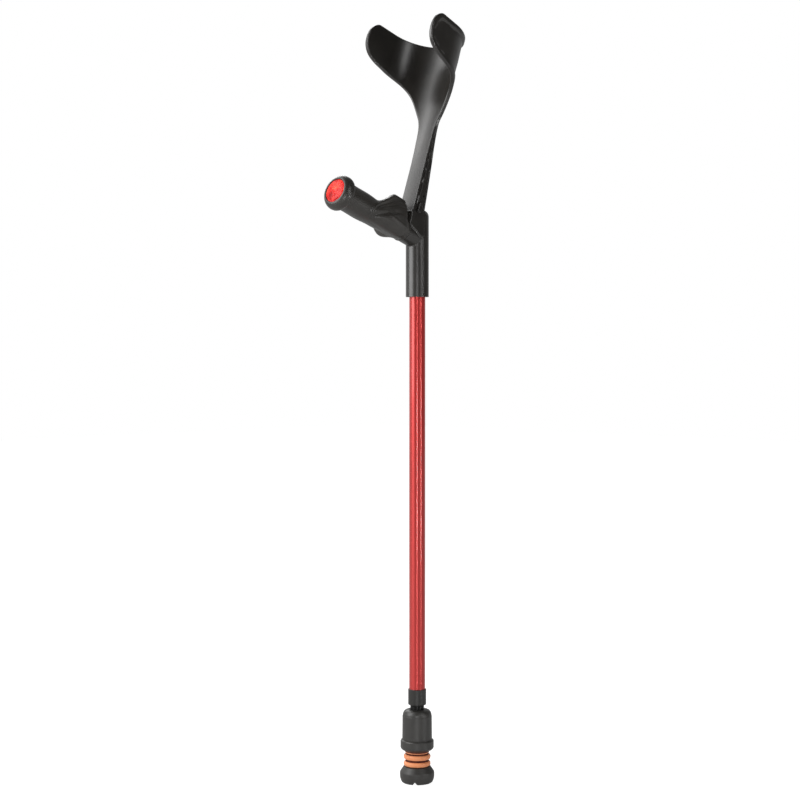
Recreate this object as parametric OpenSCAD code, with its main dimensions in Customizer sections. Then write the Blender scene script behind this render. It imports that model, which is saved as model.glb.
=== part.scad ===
// Right-hand forearm crutch, height adjustable, with a cushioned tilting foot.
// Origin: centre of the ground face, on the tube axis. +Z up the tube, +X where the handle points,
// +Y the user's left. Millimetres, drawn at the shortest setting of the tube.

/* [Tubes] */
// Outside diameter of the outer tube
outer_d = 22; // [21.8:0.1:22.4]
// Wall of the outer tube
outer_wall = 1.2; // [1.0:0.05:1.2]
// Outside diameter of the inner tube
inner_d = 19; // [18.6:0.1:19.0]
// Wall of the inner tube
inner_wall = 1.4; // [1.2:0.05:1.5]
// Height of the outer tube's lower end
outer_low = 111; // [110:0.5:112]
// Distance from one height hole to the next
hole_pitch = 19; // [16:0.5:20]
// Number of height holes in the outer tube
hole_count = 13; // [7:1:13]

/* [Handle] */
// Angle at which the handle rises from the horizontal
rise = 19.75; // [19:0.25:20.5]
// Height of the handle's axis at the tube
root_z = 746; // [744:0.5:748]
// Distance along the handle from the tube axis to the grip's near end
grip_from = 31; // [30:0.5:33]
// Distance along the handle from the tube axis to the rim of the knob
grip_to = 167; // [164:0.5:170]
// Radius of the knob
knob_r = 23.8; // [22:0.25:24]
// Height of the palm support above the handle's axis
palm_h = 40; // [36:0.5:41]
// Radius of the reflector
reflector_r = 16.1; // [15:0.1:16.3]
// Outside radius of the sleeve on the tube
sleeve_r = 15.7; // [15.4:0.1:16.2]
// Height of the sleeve's lower end
sleeve_low = 667.5; // [660:0.5:675]

/* [Cuff] */
// Backward lean of the arm and cuff
lean = 20; // [19:0.25:21]
// Width of the arm
arm_w = 26.4; // [25.5:0.1:27]
// Depth of the arm at its foot
arm_depth = 24; // [22:0.5:24.5]
// Radius of the cuff's inner face
cuff_r = 54; // [52:0.5:56]
// Wall of the cuff
cuff_wall = 3.2; // [2.6:0.1:4]
// How far the cuff's rim stands proud of the wall
cuff_rim = 2.3; // [1:0.1:2.6]
// Length of the cuff from the arm's reference point to its top edge
cuff_top = 224; // [215:1:230]
// Distance round the cuff from its middle to a wing's end
wing_reach = 127; // [115:1:132]

/* [Foot] */
// Largest radius of the tread
tread_r = 23.7; // [23:0.1:24.5]
// Height of the tread
tread_h = 22.3; // [21.8:0.1:22.6]
// Turn of the tread's grooves about the tube axis
tread_turn = 35; // [0:5:90]
// Radius of the bellows' lobes
bellows_r = 18.5; // [17.5:0.1:18.8]
// Radius of the ferrule's ring
ring_r = 22.9; // [22.2:0.1:23.6]
// Travel of the cushioned foot
cushion_travel = 5; // [3:0.5:5.5]
// Radius of the ball on the foot's post
ball_r = 6; // [5.5:0.1:6.2]

/* [Hidden] */

$fn = 96;
e = 0.01;                               // overshoot of a cut
fit = 0.05;                             // gap between pieces of one body
run = 0.1;                              // gap of a sliding or turning fit

outer_r = outer_d / 2;
outer_bore = outer_r - outer_wall;
inner_r = inner_d / 2;
inner_bore = inner_r - inner_wall;

// Heights up the tube axis
collar_low = 107.3;
collar_high = 129;
collar_r = 12.4;
first_hole_z = 150;
button_z = first_hole_z + (hole_count - 1) * hole_pitch;
button_r = 3.1;
inner_low = 81;
inner_high = button_z + 62;
outer_high = 758;
ferrule_low = 58.7;
ferrule_high = 101.2;
ring_low = 44.3;
rivet_z = 700;
pivot_z = 15.5;                         // centre of the foot's ball

// Colours
black = [0.16, 0.16, 0.15];
dark = [0.11, 0.11, 0.11];
red = [0.72, 0.07, 0.08];
steel = [0.72, 0.72, 0.74];

// ---------- helpers ----------

// Smooth step from 0 at a to 1 at b
function smooth(a, b, x) = let (u = min(max((x - a) / (b - a), 0), 1)) u * u * (3 - 2 * u);

// Piecewise smooth curve through [x, y] pairs
function through(pts, x) =
    x <= pts[0][0] ? pts[0][1] :
    x >= pts[len(pts) - 1][0] ? pts[len(pts) - 1][1] :
    let (i = max([for (k = [0 : len(pts) - 2]) if (pts[k][0] <= x) k]))
    pts[i][1] + (pts[i + 1][1] - pts[i][1]) * smooth(pts[i][0], pts[i + 1][0], x);

// Straight pieces through [x, y] pairs
function along(pts, x) =
    x <= pts[0][0] ? pts[0][1] :
    x >= pts[len(pts) - 1][0] ? pts[len(pts) - 1][1] :
    let (i = max([for (k = [0 : len(pts) - 2]) if (pts[k][0] <= x) k]))
    pts[i][1] + (pts[i + 1][1] - pts[i][1]) * (x - pts[i][0]) / (pts[i + 1][0] - pts[i][0]);

// Closed skin over rings of equal size; the last ring joins the first, so it needs no caps
module ring_skin(rings) {
    m = len(rings);
    n = len(rings[0]);
    polyhedron(
        points = [for (ring = rings) each ring],
        faces = [for (i = [0 : m - 1], j = [0 : n - 1])
            let (a = i * n + j, b = i * n + (j + 1) % n,
                 c = ((i + 1) % m) * n + (j + 1) % n, d = ((i + 1) % m) * n + j)
            each [[a, b, c], [a, c, d]]]);
}

// The handle's frame: x along its axis from the tube, y across, z square to it
module in_handle() translate([0, 0, root_z]) rotate([0, -rise, 0]) children();

// The arm's frame: x forward off its face, y across, z up along it
arm_x = 14.5;
arm_z = 805;
module in_arm() translate([arm_x, 0, arm_z]) rotate([0, -lean, 0]) children();

// ---------- upper assembly ----------

// Thin-walled tube with its row of height holes down the back
module outer_tube() {
    color(red) difference() {
        translate([0, 0, outer_low]) cylinder(r = outer_r, h = outer_high - outer_low);
        translate([0, 0, outer_low - 1]) cylinder(r = outer_bore, h = outer_high - outer_low + 2);
        for (k = [0 : hole_count - 1])
            translate([-outer_r - 2, 0, first_hole_z + k * hole_pitch])
                rotate([0, 90, 0]) cylinder(r = button_r + run, h = outer_r + 2);
        translate([-outer_r - 2, 0, rivet_z]) rotate([0, 90, 0]) cylinder(r = 2 + fit, h = outer_r + 2);
    }
}

// Plastic end sleeve that guides the inner tube
module tube_collar() {
    lip = inner_r + run;
    bore = outer_r + fit;
    color(dark) rotate_extrude() polygon([
        [lip, collar_low + 0.6], [lip + 0.6, collar_low], [collar_r - 1, collar_low],
        [collar_r - 0.3, collar_low + 0.3], [collar_r, collar_low + 1],
        [collar_r, collar_high - 0.4], [collar_r - 0.4, collar_high],
        [bore, collar_high], [bore, outer_low], [lip, outer_low]]);
}

// Rounded upper end of the sleeve, as [radius, height] points
shoulder_z = 777;
shoulder_drop = 11;
function shoulder() = [for (a = [0 : 10 : 90]) [sleeve_r * cos(a), shoulder_z + shoulder_drop * sin(a)]];

// Socket block for the arm, as [forward, along] points in the arm's frame
socket_half_w = 15.6;
saddle_outline = [
    [2.6, -23.5], [1.6, -22.5], [-7.5, -22.5], [-7.5, -8], [-8.4, -6.4], [-10.4, -6.2], [-12.6, -7],
    [-20, -13], [-26, -19], [-31, -27], [-30, -40], [-14, -58], [0, -56], [3.4, -44], [3.4, -30], [2.6, -26]];
pocket_foot = -34;                      // where the arm stands in its socket
arm_bow = 0.6;                          // room for the bowed face of the arm
upper_pin = [-13.6, 3.6];               // pins in the arm's frame, [forward, along]
lower_pin = [-10.1, -19.2];
tongue_half_w = 9;
neck_r = 14.6;
core_r = 9;

// One moulding: sleeve, neck, grip core and arm socket
module handle_body() {
    color(black) difference() {
        union() {
            difference() {
                union() {
                    rotate_extrude() polygon(concat(
                        [[0, sleeve_low], [sleeve_r - 0.8, sleeve_low], [sleeve_r, sleeve_low + 0.8]],
                        shoulder()));
                    in_handle() rotate([0, 90, 0]) {
                        cylinder(r = neck_r, h = grip_from - 0.2);
                        cylinder(r = core_r, h = grip_to - 8);
                    }
                    in_arm() rotate([90, 0, 0])
                        linear_extrude(2 * socket_half_w, center = true) polygon(saddle_outline);
                }
                arm_pocket();
                grip_clearance();
            }
            arm_tongue();
        }
        translate([0, 0, sleeve_low - 1]) cylinder(r = outer_r + fit, h = outer_high - sleeve_low + 1.5);
        translate([-sleeve_r - 2, 0, rivet_z]) rotate([0, 90, 0]) cylinder(r = 2 + fit, h = sleeve_r);
        pin_hole(upper_pin, 1.5 + fit);
        pin_hole(lower_pin, 2 + fit);
    }
}

module arm_pocket() {
    in_arm() translate([-arm_depth - 4, -arm_w / 2 - 0.15, pocket_foot - 0.1])
        cube([arm_depth + 4 + arm_bow, arm_w + 0.3, 90]);
}

// Room in the socket block for the flared end of the grip, round the core
module grip_clearance() {
    flare = 7.4;
    in_handle() translate([grip_from - 0.2, 0, 0]) rotate([0, 90, 0]) difference() {
        cylinder(r1 = 15.6, r2 = 24.6, h = flare);
        translate([0, 0, -1]) cylinder(r = core_r, h = flare + 2);
    }
}

// Spine that the hollow arm slides over
module arm_tongue() {
    in_arm() rotate([90, 0, 0]) linear_extrude(2 * tongue_half_w, center = true)
        polygon([[-3.6, pocket_foot - 1], [-3.6, 12], [-16.5, 12], [-22, pocket_foot - 1]]);
}

module pin_hole(at, r) {
    in_arm() translate([at[0], 0, at[1]]) rotate([90, 0, 0]) cylinder(r = r, h = 60, center = true);
}

// Blind rivet that holds the sleeve to the tube, at the back
module sleeve_rivet() {
    color(steel) translate([0, 0, rivet_z]) rotate([0, -90, 0]) rotate_extrude()
        polygon([[0, 7.4], [2.9, 7.4], [3.2, 8.2], [2.9, 9.2], [2, 9.2], [2, sleeve_r],
                 [4, sleeve_r], [3.6, sleeve_r + 0.8], [2.4, sleeve_r + 1.4], [0, sleeve_r + 1.6]]);
}

// Grip radius without the palm support, by distance along the handle
function grip_base(t) = through([[31, 15], [60, 16.6], [90, 17.4], [118, 18.8], [138, 18.6], [150, 18.8]], t);

// Radius of the palm support, by angle from the top towards +Y
function palm_crest(a) = palm_h / 40 * through([
    [-180, 16.5], [-166, 17.4], [-152, 20.4], [-138, 23], [-122, 25.4], [-90, 31], [-60, 36], [-30, 39.5],
    [0, 40], [12, 38], [28, 27], [42, 20.5], [60, 18.6], [90, 18.4], [140, 18.4], [180, 16.5]], a);

// Where along the handle it has risen, where it starts to fall, and how long the fall is
function palm_risen(a) = through([[-110, 54], [-60, 48], [0, 50]], a);
function palm_ends(a) = through([
    [-110, 57], [-60, 52], [-20, 53], [0, 58], [20, 72], [42, 92], [82, 106], [140, 109], [180, 98]], a);
function palm_fall(a) = through([[-125, 7], [-80, 26], [-20, 36], [0, 34], [20, 26], [45, 9], [60, 6]], a);

function grip_radius(t, a) =
    let (base = grip_base(t), c = palm_ends(a))
    base + max(palm_crest(a) - base, 0) * smooth(palm_risen(a) - 15, palm_risen(a), t)
         * (1 - smooth(c, c + palm_fall(a), t));

grip_sides = 48;
grip_bore = core_r + 0.2;
recess_r = reflector_r + 0.15;
recess_t = grip_to - 5.2;

function round_ring(t, r) = [for (i = [0 : grip_sides - 1])
    let (a = 360 * i / grip_sides - 180, s = r / cos(180 / grip_sides)) [t, s * sin(a), s * cos(a)]];
function grip_ring(t) = [for (i = [0 : grip_sides - 1])
    let (a = 360 * i / grip_sides - 180, r = grip_radius(t, a)) [t, r * sin(a), r * cos(a)]];

// Soft anatomic grip with its palm support and end knob
module grip() {
    knob_back = grip_to - 17;
    skin = [for (t = [grip_from : 3 : knob_back - 1]) grip_ring(t)];
    knob = [for (p = [[knob_back, knob_r - 3.4], [knob_back + 1.2, knob_r - 1.6], [knob_back + 3.2, knob_r - 0.4],
                      [knob_back + 6.5, knob_r], [grip_to - 5, knob_r - 0.3], [grip_to - 2.4, knob_r - 1.4],
                      [grip_to - 0.7, knob_r - 3.2], [grip_to, knob_r - 5.4], [grip_to - 0.5, recess_r],
                      [recess_t, recess_r], [recess_t, grip_bore], [grip_from, grip_bore]]) round_ring(p[0], p[1])];
    color(black) in_handle() ring_skin(concat(skin, knob));
}

// Plate behind the reflector
module reflector_back() {
    color([0.85, 0.85, 0.85]) in_handle() translate([recess_t + fit, 0, 0]) rotate([0, 90, 0])
        cylinder(r = reflector_r, h = 1.2);
}

// Red prismatic lens, domed outside
module reflector_lens() {
    crown = 2.6;
    sphere_r = (pow(reflector_r - 0.6, 2) + crown * crown) / (2 * crown);
    reach = asin((reflector_r - 0.6) / sphere_r);
    color([0.9, 0.08, 0.05, 0.85]) in_handle() translate([recess_t + fit + 1.2, 0, 0]) rotate([0, 90, 0])
        rotate_extrude() polygon(concat([[0, 0], [reflector_r, 0], [reflector_r, 2.6]],
            [for (i = [8 : -1 : 0]) let (a = reach * i / 8) [sphere_r * sin(a), 3.2 + crown - sphere_r * (1 - cos(a))]]));
}

// ---------- arm and cuff ----------

// Flat pattern of the arm and cuff: half width, height of the edge, height of the middle
pattern = [
    [arm_w / 2, pocket_foot, pocket_foot], [arm_w / 2, -20, -20], [arm_w / 2, 0, 0], [arm_w / 2, 20, 20],
    [arm_w / 2, 40, 40], [13.4, 60, 60], [13.8, 75, 75], [14.4, 88, 88], [15.6, 100, 101], [18.5, 111, 113],
    [23.5, 121, 125], [29, 131, 137], [35, 141, 149], [42, 149.5, 160], [52, 157, 169], [66, 162.5, 177],
    [86, 167, 185], [104, 171, 192], [117, 177, 199], [wing_reach - 2.5, 186, 205], [wing_reach, 196, 211],
    [wing_reach - 1, 207, 216], [wing_reach - 5, cuff_top - 8, 220], [wing_reach - 12, cuff_top - 1.5, cuff_top - 1],
    [wing_reach - 17, cuff_top, cuff_top]];

// The pattern between its points, on a smooth curve
function blend4(a, b, c, d, u) =
    b + u * ((c - a) / 2 + u * ((a - 2.5 * b + 2 * c - d / 2) + u * (1.5 * b - a / 2 - 1.5 * c + d / 2)));
function pattern_at(v) =
    let (last = len(pattern) - 1, i = min(floor(v), last - 1), u = v - i)
    blend4(pattern[max(i - 1, 0)], pattern[i], pattern[i + 1], pattern[min(i + 2, last)], u);

// Inner face of the cuff: round the back, then straight along the wings
wing_turn = 86;
wing_start = cuff_r * wing_turn * PI / 180;
function face_turn(s) = min(abs(s) / cuff_r * 180 / PI, wing_turn) * sign(s);
function face_point(s, w) =
    let (a = face_turn(s), more = max(abs(s) - wing_start, 0), curl = 0.3 + 0.7 * smooth(40, 105, w))
    [curl * cuff_r * (1 - cos(a)) + more * sin(abs(a)), cuff_r * sin(a) + more * cos(a) * sign(s)];

// Depth of the arm's side walls, which run out into the cuff's rim
function wall_depth(w) = along([[pocket_foot, arm_depth], [-20, arm_depth - 1.2], [17, 18.3], [52, 13.7],
    [88, 8.4], [108, cuff_wall + cuff_rim]], w);
function wall_width(w) = through([[60, 3.2], [150, 6.5]], w);

// One closed row across the sheet: the face, then the back
function sheet_row(v) =
    let (p = pattern_at(v), half = p[0], edge = wall_width(p[1]),
         inside = half - edge - 0.8,
         cols = concat([for (k = [0 : 6]) inside * k / 6], [half - edge, half - 0.9, half]),
         all = concat([for (k = [len(cols) - 1 : -1 : 1]) -cols[k]], cols))
    [for (back = [0, 1], k = [0 : len(all) - 1])
        let (s = back ? all[len(all) - 1 - k] : all[k],
             w = p[2] + (p[1] - p[2]) * pow(s / half, 2),
             a = face_turn(s) * smooth(70, 125, p[1]), f = face_point(s, w),
             rim = abs(s) > inside + 0.1,
             lip = abs(s) > half - 0.1 ? 0.9 : 0,
             depth = back ? (rim ? wall_depth(p[1]) - lip : cuff_wall) : lip * 0.6)
        [f[0] - depth * cos(a), f[1] + depth * sin(a), w]];

// Skin over rows that are closed loops, with strips across both ends
module row_skin(rows) {
    m = len(rows);
    n = len(rows[0]);
    polyhedron(
        points = [for (row = rows) each row],
        faces = concat(
            [for (i = [0 : m - 2], j = [0 : n - 1])
                let (a = i * n + j, b = i * n + (j + 1) % n, c = b + n, d = a + n) each [[a, b, c], [a, c, d]]],
            [for (j = [0 : n / 2 - 2]) each [[j + 1, j, n - 1 - j], [j + 1, n - 1 - j, n - 2 - j]]],
            [for (j = [0 : n / 2 - 2]) let (o = (m - 1) * n)
                each [[o + j, o + j + 1, o + n - 1 - j], [o + j + 1, o + n - 2 - j, o + n - 1 - j]]]));
}

// Arm and open cuff, one moulding, hollow behind the arm
module forearm_cuff() {
    steps = 2;
    rows = [for (i = [0 : (len(pattern) - 1) * steps]) sheet_row(i / steps)];
    color(black) difference() {
        in_arm() row_skin(rows);
        pin_hole(upper_pin, 1.5 + fit);
        pin_hole(lower_pin, 2 + fit);
    }
}

// Steel cross pin through the arm and the tongue
module arm_pin() {
    color(steel) in_arm() translate([upper_pin[0], 0, upper_pin[1]]) rotate([90, 0, 0])
        cylinder(r = 1.5, h = arm_w - 1.6, center = true);
}

// Rivet through the socket's cheeks, the arm and the tongue
module socket_rivet() {
    half = socket_half_w;
    color(black) in_arm() translate([lower_pin[0], 0, lower_pin[1]]) rotate([90, 0, 0])
        rotate_extrude() polygon([[0, -half - 0.7], [2.2, -half - 0.4], [2.8, -half], [2, -half],
                                  [2, half], [2.8, half], [2.2, half + 0.4], [0, half + 0.7]]);
}

// ---------- lower assembly ----------

module inner_tube() {
    color(dark) difference() {
        translate([0, 0, inner_low]) cylinder(r = inner_r, h = inner_high - inner_low);
        translate([0, 0, inner_low - 1]) cylinder(r = inner_bore, h = inner_high - inner_low + 2);
        translate([-inner_r - 2, 0, button_z]) rotate([0, 90, 0]) cylinder(r = button_r + run, h = inner_r + 2);
    }
}

// Plug that keeps the inner tube's upper end central and quiet
module guide_bush() {
    head = outer_bore - run;
    plug = inner_bore - fit;
    color(dark) rotate_extrude() polygon([
        [plug - 1.6, inner_high - 14], [plug - 0.4, inner_high - 14], [plug, inner_high - 13], [plug, inner_high],
        [head, inner_high], [head, inner_high + 5], [head - 1.2, inner_high + 6.4], [plug - 1.6, inner_high + 6.4]]);
}

// Button that stands in the inner tube's hole and one hole of the outer tube
button_out = 12.6;
flange_x = 6.4;
module snap_button() {
    color(steel) translate([0, 0, button_z]) rotate([0, -90, 0]) rotate_extrude()
        polygon(concat([[0, flange_x - 1.2], [4.2, flange_x - 1.2], [4.2, flange_x], [button_r, flange_x]],
            [for (a = [0 : 15 : 90]) [button_r * cos(a), button_out - 1.4 + 1.4 * sin(a)]]));
}

// Folded leaf spring behind the button
module snap_spring() {
    strip = 0.5;
    near = flange_x - 1.2 - 0.02;
    far = inner_bore - 0.7;
    fold = (near + far) / 2;
    fold_z = button_z - 42;
    color(steel) rotate([90, 0, 0]) linear_extrude(6, center = true) union() {
        translate([-near, fold_z]) square([strip, button_z + 4 - fold_z]);
        translate([far - strip, fold_z]) square([strip, button_z + 10 - fold_z]);
        intersection() {
            translate([(far - near) / 2, fold_z]) difference() {
                circle(r = fold);
                circle(r = fold - strip);
            }
            translate([-10, fold_z - 10]) square([20, 10 + e]);
        }
    }
}

guide_r = 3.5;
web_low = 60;
web_high = 70;
clip_z = web_high + fit;
housing_r = 20.5;
bellows_seat = 57;

// Rubber ferrule body: tube socket above, guide web in the middle
module ferrule_housing() {
    socket = inner_r + fit;
    color(black) rotate_extrude() polygon([
        [guide_r + run, web_low], [housing_r - 0.1, web_low], [housing_r, web_low + 1],
        [20.2, 92], [19.9, 92.4], [19.8, 93.6], [19.5, 95.2], [18.9, 96.9], [17.8, 98.6], [16.4, 99.8],
        [14.5, 100.6], [11.8, ferrule_high], [10.6, ferrule_high], [10, ferrule_high - 0.5],
        [socket, ferrule_high - 1.2], [socket, inner_low - 1.6],
        [8, inner_low - 1.6], [8, web_high], [guide_r + run, web_high]]);
}

// Steel washer that takes the tube's load
module load_washer() {
    color(steel) difference() {
        translate([0, 0, inner_low - 1.6 + fit]) cylinder(r = inner_r - 0.1, h = 1.5);
        translate([0, 0, inner_low - 3]) cylinder(r = 6, h = 5);
    }
}

// Collar that clamps the bellows' upper flange under the housing
module retaining_ring() {
    color(black) rotate_extrude() polygon([
        [16.6, ring_low + 0.8], [17.2, ring_low], [18.2, ring_low], [20.4, ring_low + 1.1],
        [22.2, ring_low + 2.8], [ring_r, ring_low + 4.4], [ring_r, ferrule_low - 1], [ring_r - 0.6, ferrule_low],
        [housing_r + fit, ferrule_low + 0.6], [housing_r + fit, web_low - fit], [19.6, web_low - fit],
        [19.6, bellows_seat - fit], [17.6, bellows_seat - fit], [16.6, ring_low + 6]]);
}

// Steel post that slides in the web and carries the ball of the foot
module guide_post() {
    groove_low = clip_z;
    color(steel) rotate_extrude() polygon(concat(
        [for (a = [-90 : 6 : 54]) [ball_r * cos(a), pivot_z + ball_r * sin(a)]],
        [[guide_r, pivot_z + ball_r * sin(54)], [guide_r, groove_low], [guide_r - 0.7, groove_low],
         [guide_r - 0.7, groove_low + 1], [guide_r, groove_low + 1], [guide_r, groove_low + 2.4],
         [guide_r - 0.6, groove_low + 3], [0, groove_low + 3]]));
}

// Snap ring that stops the post from dropping out
module post_clip() {
    color(steel) translate([0, 0, clip_z + fit]) difference() {
        cylinder(r = 5.6, h = 0.9);
        translate([0, 0, -1]) cylinder(r = guide_r - 0.7 + fit, h = 3);
        translate([0, -1.6, -1]) cube([8, 3.2, 3]);
    }
}

// Two lobes below a neck and flange, as [outer radius, height] points from the foot upwards
lobe_low = [22.4, 30.2];
lobe_high = [31.8, 39.6];
groove_r = 14.2;
function lobe(z) = [for (a = [-80 : 20 : 80])
    [groove_r + 0.6 + (bellows_r - groove_r - 0.6) * cos(a), (z[0] + z[1]) / 2 + (z[1] - z[0]) / 2 * sin(a) * 0.96]];

module bellows() {
    inner = 12.4;
    color([0.98, 0.62, 0.42]) rotate_extrude() polygon(concat(
        [[inner, lobe_low[0]], [groove_r, lobe_low[0]]], lobe(lobe_low),
        [[groove_r, lobe_low[1]], [groove_r, lobe_high[0]]], lobe(lobe_high),
        [[groove_r, lobe_high[1]], [15.2, lobe_high[1] + 1], [15.8, lobe_high[1] + 2],
        [15.8, bellows_seat], [19.4, bellows_seat], [19.4, web_low - 2 * fit], [inner, web_low - 2 * fit]]));
}

core_low = 6;
core_high = 18.4;
core_flange_r = 15.8;

// Hard core of the foot, with the ball's seat
module foot_core() {
    color(dark) difference() {
        translate([0, 0, core_low]) cylinder(r = core_flange_r, h = core_high - core_low);
        translate([0, 0, pivot_z]) sphere(r = ball_r + run);
    }
}

// Plate that closes the seat over the ball
module ball_retainer() {
    color(dark) difference() {
        translate([0, 0, core_high + fit]) cylinder(r = core_flange_r, h = 3);
        translate([0, 0, pivot_z]) sphere(r = ball_r + run);
        translate([0, 0, core_high + 1]) cylinder(r1 = 4.6, r2 = 6.4, h = 4);
    }
}

// Rubber tread with a cross of grooves in its ground face
module foot_tread() {
    pocket = core_flange_r + fit;
    groove_half = 3.3;
    groove_h = 3.8;
    color(dark) difference() {
        rotate_extrude() polygon([
            [0, 0], [19.6, 0], [21.2, 1], [22.3, 3], [23.2, 6], [tread_r, 9], [tread_r, tread_h - 8.6],
            [tread_r - 0.3, tread_h - 7.2], [18.8, tread_h - 0.4], [18.2, tread_h], [pocket, tread_h],
            [pocket, core_low - fit], [0, core_low - fit]]);
        for (k = [0 : 3])
            rotate([0, 0, tread_turn + 90 * k]) translate([7, 0, 0]) rotate([90, 0, 90])
                linear_extrude(30) polygon([[-groove_half, -1], [groove_half, -1], [groove_half, 0],
                                            [0.6, groove_h], [-0.6, groove_h], [-groove_half, 0]]);
    }
}

outer_tube();
tube_collar();
handle_body();
sleeve_rivet();
grip();
reflector_back();
reflector_lens();
forearm_cuff();
arm_pin();
socket_rivet();
inner_tube();
guide_bush();
snap_button();
snap_spring();
ferrule_housing();
load_washer();
retaining_ring();
guide_post();
post_clip();
bellows();
foot_core();
ball_retainer();
foot_tread();
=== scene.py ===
"""Looks for the forearm crutch: a studio, procedural materials, and finished meshes for the moulded parts."""
import math

import bmesh
import bpy
import numpy as np
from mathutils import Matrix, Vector


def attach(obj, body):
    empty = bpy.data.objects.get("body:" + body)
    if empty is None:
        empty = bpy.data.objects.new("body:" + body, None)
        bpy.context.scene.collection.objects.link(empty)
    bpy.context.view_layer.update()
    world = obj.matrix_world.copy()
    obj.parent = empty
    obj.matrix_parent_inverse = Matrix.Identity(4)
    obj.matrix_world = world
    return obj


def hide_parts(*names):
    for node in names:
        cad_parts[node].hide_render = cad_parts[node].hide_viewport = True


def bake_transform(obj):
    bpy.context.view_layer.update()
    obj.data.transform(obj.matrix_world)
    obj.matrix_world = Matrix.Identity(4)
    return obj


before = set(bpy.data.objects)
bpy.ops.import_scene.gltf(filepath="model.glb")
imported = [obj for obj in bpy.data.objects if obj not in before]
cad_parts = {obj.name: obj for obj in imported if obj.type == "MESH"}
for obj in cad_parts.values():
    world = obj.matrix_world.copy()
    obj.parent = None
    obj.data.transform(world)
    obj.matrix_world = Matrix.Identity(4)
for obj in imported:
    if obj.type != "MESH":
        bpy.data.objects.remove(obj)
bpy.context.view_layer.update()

MM = 0.001


# ---------------------------------------------------------------- curves

def smooth(a, b, x):
    """0 below a, 1 above b, and a smooth step between them."""
    u = np.clip((np.asarray(x, float) - a) / (b - a), 0, 1)
    return u * u * (3 - 2 * u)


def through(points, x):
    """A smooth curve, level at each of its [x, y] points."""
    x = np.asarray(x, float)
    out = np.full(x.shape, float(points[0][1]))
    for (xa, ya), (xb, yb) in zip(points, points[1:]):
        out = np.where(x > xa, ya + (yb - ya) * smooth(xa, xb, x), out)
    return out


def curve(points, x):
    """A smooth monotone cubic through [x, y] points."""
    x = np.asarray(x, float)
    p = np.asarray(points, float)
    h = np.diff(p[:, 0])
    slope = np.diff(p[:, 1]) / h
    left, right = slope[:-1], slope[1:]
    same_way = left * right > 0
    weighted = ((2 * h[1:] + h[:-1]) / np.where(left == 0, 1, left)
                + (h[1:] + 2 * h[:-1]) / np.where(right == 0, 1, right))
    inner = np.where(same_way, (h[:-1] + h[1:]) * 3 / np.where(same_way, weighted, 1), 0)
    m = np.concatenate([[0], inner, [0]])
    i = np.clip(np.searchsorted(p[:, 0], x, "right") - 1, 0, len(h) - 1)
    u = np.clip((x - p[i, 0]) / h[i], 0, 1)
    return ((2 * u ** 3 - 3 * u ** 2 + 1) * p[i, 1] + (u ** 3 - 2 * u ** 2 + u) * h[i] * m[i]
            + (3 * u ** 2 - 2 * u ** 3) * p[i + 1, 1] + (u ** 3 - u ** 2) * h[i] * m[i + 1])


def spline(points, v):
    """Catmull-Rom curve through rows of numbers; v counts rows."""
    p = np.asarray(points, float)
    last = len(p) - 1
    i = np.minimum(np.floor(v).astype(int), last - 1)
    u = (v - i)[:, None]
    a, b, c, d = p[np.maximum(i - 1, 0)], p[i], p[i + 1], p[np.minimum(i + 2, last)]
    return b + u * ((c - a) / 2 + u * ((a - 2.5 * b + 2 * c - d / 2) + u * (1.5 * b - a / 2 - 1.5 * c + d / 2)))


# ---------------------------------------------------------------- meshes

def make_object(name, verts, faces, material, sharp=None):
    """A smooth-shaded object from millimetre points; edges above the sharp angle in degrees stay crisp."""
    mesh = bpy.data.meshes.new(name)
    mesh.from_pydata([tuple(v) for v in np.asarray(verts) * MM], [], faces)
    bm = bmesh.new()
    bm.from_mesh(mesh)
    bmesh.ops.remove_doubles(bm, verts=bm.verts, dist=1e-6)
    bmesh.ops.recalc_face_normals(bm, faces=bm.faces)
    bm.to_mesh(mesh)
    bm.free()
    mesh.materials.append(material)
    obj = bpy.data.objects.new(name, mesh)
    bpy.context.scene.collection.objects.link(obj)
    shade(obj, sharp)
    return obj


def shade(obj, sharp=None):
    """Smooth shading, with edges above the sharp angle kept crisp."""
    mesh = obj.data
    mesh.polygons.foreach_set("use_smooth", [True] * len(mesh.polygons))
    if sharp is not None:
        mesh.set_sharp_from_angle(angle=math.radians(sharp))


def grid_faces(rows, cols, wrap):
    """Quads over a rows by cols grid; wrap closes each row into a ring."""
    faces = []
    for i in range(rows - 1):
        for j in range(cols if wrap else cols - 1):
            k = (j + 1) % cols
            faces.append((i * cols + j, i * cols + k, (i + 1) * cols + k, (i + 1) * cols + j))
    return faces


def lathe(name, profile, material, sides=128, closed=True, sharp=None, place=None):
    """A turned solid from [radius, height] points, about z or about the axis that place gives."""
    p = np.asarray(profile, float)
    a = np.linspace(0, 2 * np.pi, sides, endpoint=False)
    verts = np.stack([np.outer(p[:, 0], np.cos(a)), np.outer(p[:, 0], np.sin(a)),
                      np.repeat(p[:, 1][:, None], sides, 1)], -1).reshape(-1, 3)
    faces = grid_faces(len(p), sides, True)
    if closed:
        faces += [tuple((len(p) - 1) * sides + np.arange(sides)), tuple(np.arange(sides)[::-1])]
    else:
        faces += [((len(p) - 1) * sides + j, (len(p) - 1) * sides + (j + 1) % sides, (j + 1) % sides, j)
                  for j in range(sides)]
    if place is not None:
        verts = place(verts)
    return make_object(name, verts, faces, material, sharp)


def apply_modifiers(obj):
    """Bakes an object's modifiers into its mesh."""
    graph = bpy.context.evaluated_depsgraph_get()
    mesh = bpy.data.meshes.new_from_object(obj.evaluated_get(graph))
    obj.modifiers.clear()
    old = obj.data
    obj.data = mesh
    bpy.data.meshes.remove(old)


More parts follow.
